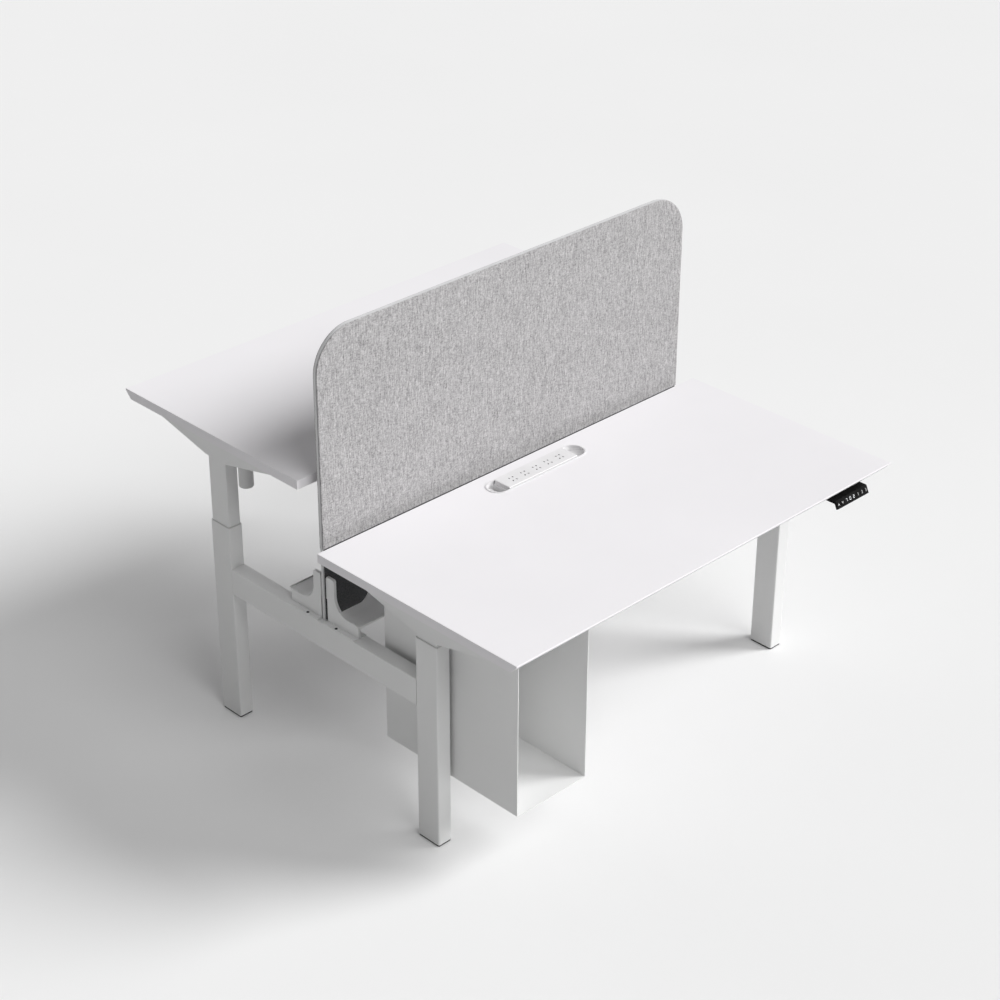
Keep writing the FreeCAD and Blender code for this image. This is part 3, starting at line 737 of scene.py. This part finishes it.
def make_desk_screws(row):
    """Black screws under one desktop."""
    node = f"{row}_desk_screws"
    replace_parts(make_screws(f"{row}_socket_screws", f"{row}_desk", "black_screws", solids_of(node)), node)


# Control boxes: an edge or a groove is pairs of a height and how far in the wall lies there
BOX_ROUND = 0.005
BOX_LOWER_EDGE = ((0.0, 0.003), (0.0008, 0.001), (0.0025, 0.0))
SEAM_SHARE = 0.6
SEAM_GROOVE = ((-0.0006, 0.0), (-0.0005, 0.0008), (0.0005, 0.0008), (0.0006, 0.0))
RIB_COUNT = 11
RIB_PITCH = 0.016
RIB_WIDTH = 0.004
RIB_ROUND = 0.0015
RIB_END_SPACE = 0.015
RIB_ROOT = 0.0002
RIB_SIDE = 0.0009
RIB_DROP = 0.0012
RIB_CREST_SHARES = (0.7, 0.99)
PORT_PITCH = 0.03
MOTOR_PORT = (0.02, 0.011)
MAINS_PORT = (0.028, 0.013)
PORT_SIZES = (MOTOR_PORT,) * 4 + (MAINS_PORT,)
PORT_ROUND = 0.0022
PORT_BELOW_SEAM = 0.011
# A port's rim, then its hole: how far out of the wall, and how far in from the port's outline
PORT_STEPS = ((0.0, 0.0), (0.0009, 0.0), (0.0012, 0.0004), (0.0012, 0.0016), (-0.006, 0.0019))


def housing_rings(low, high, seam):
    """Rings of a control box from its bottom up, with a rounded lower edge and a groove at its seam."""
    centre = (low + high) / 2
    length, width = high.x - low.x, high.y - low.y
    steps = [(low.z + up, inset) for up, inset in BOX_LOWER_EDGE]
    steps += [(seam + up, inset) for up, inset in SEAM_GROOVE]
    steps.append((high.z, 0.0))
    return [
        [
            (centre.x + x, centre.y + y, z)
            for x, y in rounded(length - 2 * inset, width - 2 * inset, BOX_ROUND - inset)
        ]
        for z, inset in steps
    ]


def rib_rings(x, y, bottom, length):
    """Rings of a cooling rib under a control box, narrower at its crest."""
    wide, long = RIB_CREST_SHARES
    outline = rounded(RIB_WIDTH, length, RIB_ROUND)
    return [
        [(x + u, y + v, bottom + RIB_ROOT) for u, v in outline],
        [(x + u, y + v, bottom - RIB_SIDE) for u, v in outline],
        [(x + u * wide, y + v * long, bottom - RIB_DROP) for u, v in outline],
    ]


def make_control_box(row):
    """A housing with a seam, cooling ribs below and a row of ports on the side that faces the screen."""
    node = f"{row}_control_box"
    low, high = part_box(node)
    centre = (low + high) / 2
    seam = low.z + SEAM_SHARE * (high.z - low.z)
    bm = bmesh.new()
    loft(bm, housing_rings(low, high, seam))
    for index in range(RIB_COUNT):
        x = centre.x + (index - (RIB_COUNT - 1) / 2) * RIB_PITCH
        loft(bm, rib_rings(x, centre.y, low.z, high.y - low.y - 2 * RIB_END_SPACE))
    housing = make_piece(f"{row}_control_housing", bm, f"{row}_desk", LOOKS["box_plastic"])
    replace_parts(housing, node)
    face, side = (high.y, 1) if row == "near" else (low.y, -1)
    bm = bmesh.new()
    for index, (wide, tall) in enumerate(PORT_SIZES):
        x = centre.x + (index - (len(PORT_SIZES) - 1) / 2) * PORT_PITCH
        loft(bm, [
            [
                (x + u, face + side * out, seam - PORT_BELOW_SEAM + v)
                for u, v in rounded(wide - 2 * inset, tall - 2 * inset, PORT_ROUND - inset)
            ]
            for out, inset in PORT_STEPS
        ], cap_first=False)
    make_piece(f"{row}_control_ports", bm, f"{row}_desk", LOOKS["black_plastic"])


# Motor ends: the cap and the bosses are each a radius and a drop below the can
END_CAP = (0.0125, 0.0012)
BOSS = (0.0022, 0.0022)
BOSS_CIRCLE = 0.0092
BOSS_ANGLES = (90, 210, 330)
END_POINTS = 32
END_ROOT = 0.0004
END_EDGE = 0.0005
END_FACE_SHARE = 0.88
RIM_TEST_HEIGHT = 0.0005


def make_motor_end(row):
    """A pressed end cap with three screw bosses under the motor can."""
    points = [v for solid in solids_of(f"{row}_lift_drive") for v in solid]
    low = min(v.z for v in points)
    rim = [v for v in points if v.z < low + RIM_TEST_HEIGHT]
    middle = sum(rim, Vector()) / len(rim)
    shapes = [(middle, *END_CAP)]
    for degrees in BOSS_ANGLES:
        angle = math.radians(degrees)
        away = Vector((BOSS_CIRCLE * math.cos(angle), BOSS_CIRCLE * math.sin(angle), 0))
        shapes.append((middle + away, *BOSS))
    bm = bmesh.new()
    for centre, radius, drop in shapes:
        steps = ((END_ROOT, 1.0), (END_EDGE - drop, 1.0), (-drop, END_FACE_SHARE))
        loft(bm, [ring(centre, low + z, [radius * share] * END_POINTS) for z, share in steps])
    make_piece(f"{row}_motor_end", bm, f"{row}_desk", LOOKS["motor_paint"])


# Power module: a dark plate in each pin slot, painted shade for the deep hole, lies between two depths, and
# the near slots of a socket are turned
SOCKET_COUNT = 5
SOCKET_PITCH = 0.0435
PIN_SPREAD = 0.0064
PIN_ROW = 0.0078
PIN_ANGLE = 30
SLOT_SHADE_WIDTH = 0.0033
SLOT_SHADE_LENGTH = 0.0055
SLOT_SHADE_ROUND = 0.0002
SLOT_SHADE_ROUND_STEPS = 2
SLOT_SHADE_TOP_DEPTH = 0.0006
SLOT_SHADE_BOTTOM_DEPTH = 0.004


def make_slot_shade():
    """Near-black plates just under the surface in the socket block's pin slots, as painted shade for the
    deep holes.
    """
    low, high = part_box("socket_block")
    middle_y = (low.y + high.y) / 2
    shade_outline = rounded(SLOT_SHADE_WIDTH, SLOT_SHADE_LENGTH, SLOT_SHADE_ROUND, SLOT_SHADE_ROUND_STEPS)
    bm = bmesh.new()
    for index in range(SOCKET_COUNT):
        x = (index - (SOCKET_COUNT - 1) / 2) * SOCKET_PITCH
        for side in (-1, 1):
            for row, degrees in ((PIN_ROW, 0), (-PIN_ROW, side * PIN_ANGLE)):
                turn = Matrix.Rotation(math.radians(degrees), 2)
                centre = Vector((x + side * PIN_SPREAD, middle_y + row))
                outline = [centre + turn @ Vector(point) for point in shade_outline]
                prism(bm, outline, high.z - SLOT_SHADE_BOTTOM_DEPTH, high.z - SLOT_SHADE_TOP_DEPTH)
    # Black plates stand in for the shade deep in each pin hole
    make_piece("socket_slot_shade", bm, "near_desk", LOOKS["black_plastic"])


scene.view_settings.view_transform = "Standard"
make_camera()
make_lamp("key", **KEY_LAMP)
make_lamp("fill", **FILL_LAMP)
make_world()
make_floor()
dress_nodes()
for row in ROWS:
    make_cover(f"{row}_cloth", f"screen_{row}_cover")
for row in ROWS:
    make_handset(row)
make_frame_screws()
for make_for in (make_desk_screws, make_control_box, make_motor_end):
    for row in ROWS:
        make_for(row)
make_slot_shade()
